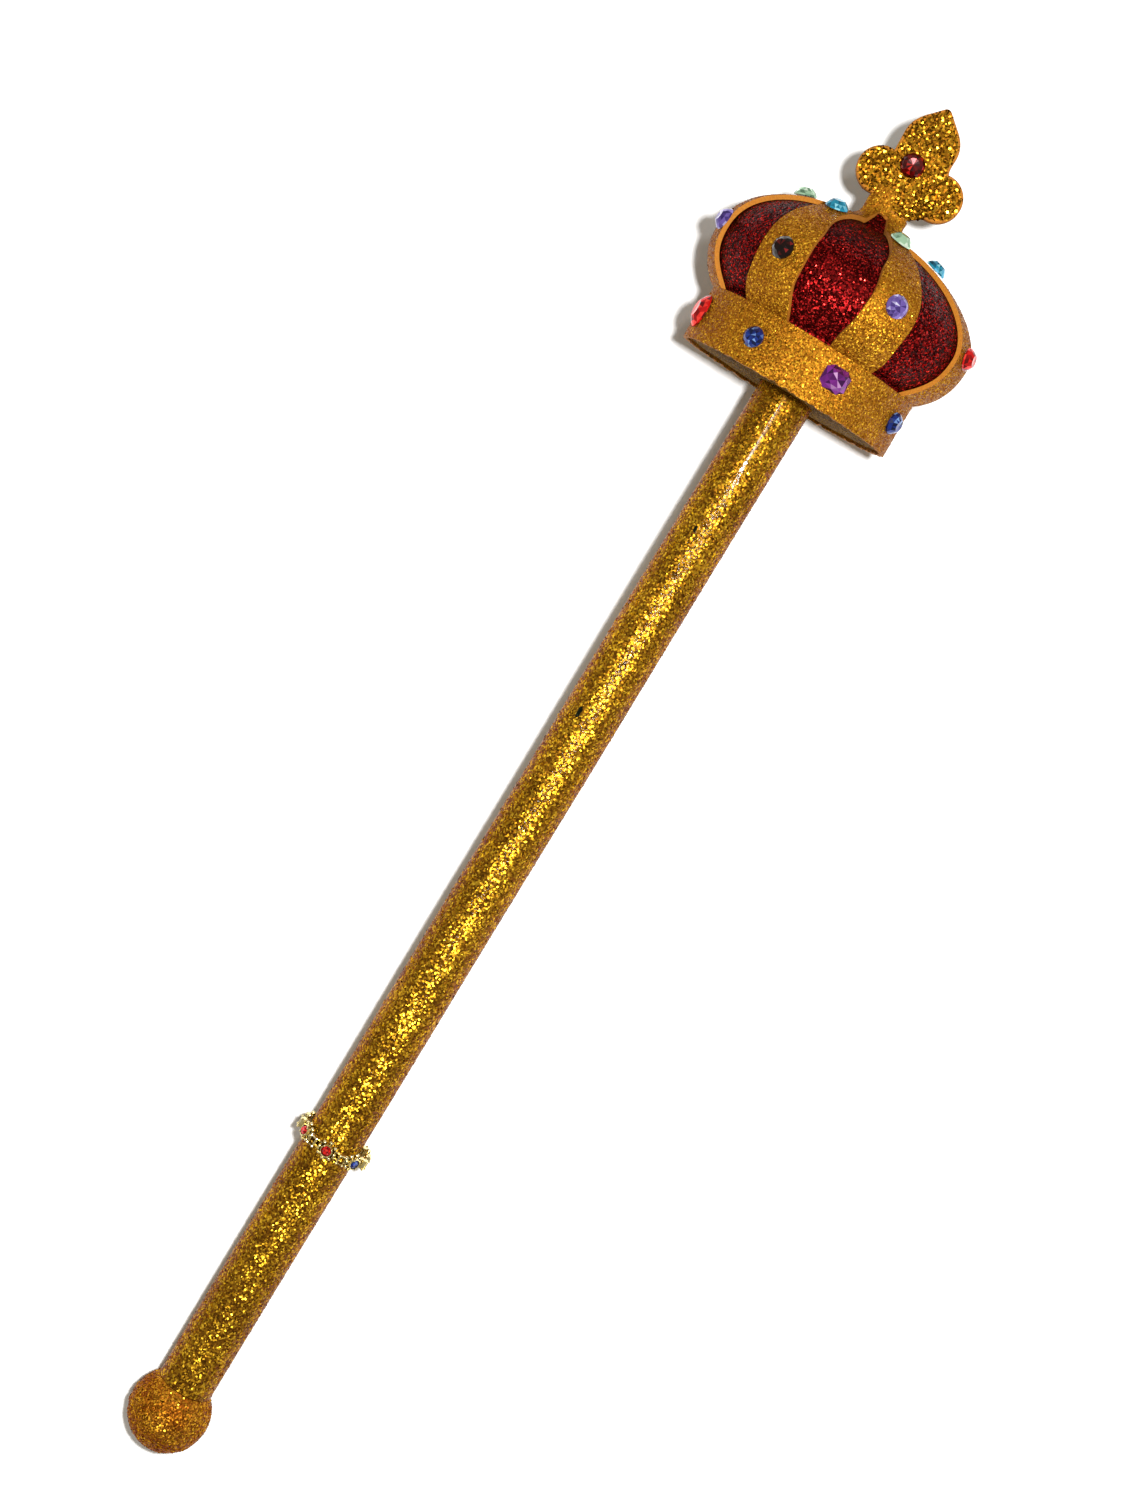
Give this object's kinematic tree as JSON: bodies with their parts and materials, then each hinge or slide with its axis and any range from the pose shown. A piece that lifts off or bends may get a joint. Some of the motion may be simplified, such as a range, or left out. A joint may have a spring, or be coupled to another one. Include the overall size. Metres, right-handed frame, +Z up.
{
  "type": "sceptre",
  "caption": "Costume sceptre lying on its side: glitter tube with a ball foot, a jewelled chain round it and a foam crown with red panels, gems and a flat trefoil finial.",
  "frame": {"origin": "under the middle of the object's box, on the surface it lies on", "axes": "+X along the staff towards the crown and finial, +Z up, away from the surface it lies on; the staff climbs a few degrees towards the crown"},
  "size_m": [0.5564, 0.103, 0.1016],
  "materials": {
    "glitter_film": "gold glitter film over a dark olive-brown base, glossy",
    "glitter_ball": "fine copper-gold glitter glued on, slightly rough",
    "foam_gold": "craft foam with fine orange-gold glitter face and plain orange cut edges",
    "finial_gold": "thick craft foam with coarse gold glitter",
    "foam_red": "craft foam with dark red glitter face",
    "foam_under": "craft foam, brownish gold glitter, in shade under the crown",
    "chain_gold": "gold-plated costume metal, polished",
    "gem_red": "faceted acrylic, foil-backed, red",
    "gem_garnet": "faceted acrylic, nearly black",
    "gem_blue": "faceted acrylic, foil-backed, dark blue",
    "gem_violet": "faceted acrylic, foil-backed, violet",
    "gem_amethyst": "faceted acrylic, foil-backed, purple",
    "gem_teal": "faceted acrylic, foil-backed, teal",
    "gem_green": "faceted acrylic, foil-backed, pale green"
  },
  "bodies": {
    "root": {"staff_tube": "glitter_film", "pommel_ball": "glitter_ball", "crown_foam_frame": "foam_gold", "dome_core": "foam_red", "crown_base_disc": "foam_under", "trefoil_finial": "finial_gold", "finial_gem": "gem_red", "chain_ring": "chain_gold", "band_gem_navette_red": "gem_red", "band_gem_blue": "gem_blue", "band_gem_octagon_amethyst": "gem_amethyst", "band_gem_blue_right": "gem_blue", "band_gem_red_back": "gem_red", "band_gem_violet_under": "gem_violet", "band_gem_blue_back": "gem_blue", "rib_gem_1": "gem_violet", "rib_gem_2": "gem_garnet", "rib_gem_3": "gem_violet", "rib_gem_4": "gem_red", "rib_gem_5": "gem_blue", "rib_gem_7": "gem_garnet", "shoulder_gem_1": "gem_green", "shoulder_gem_2": "gem_teal", "shoulder_gem_3": "gem_green", "shoulder_gem_4": "gem_teal", "shoulder_gem_5": "gem_green", "shoulder_gem_6": "gem_teal", "shoulder_gem_7": "gem_teal", "chain_stone_1": "gem_red", "chain_stone_2": "gem_blue", "chain_stone_3": "gem_garnet", "chain_stone_4": "gem_red", "chain_stone_5": "gem_blue", "chain_stone_6": "gem_garnet", "chain_stone_7": "gem_red"}
  },
  "joints": []
}
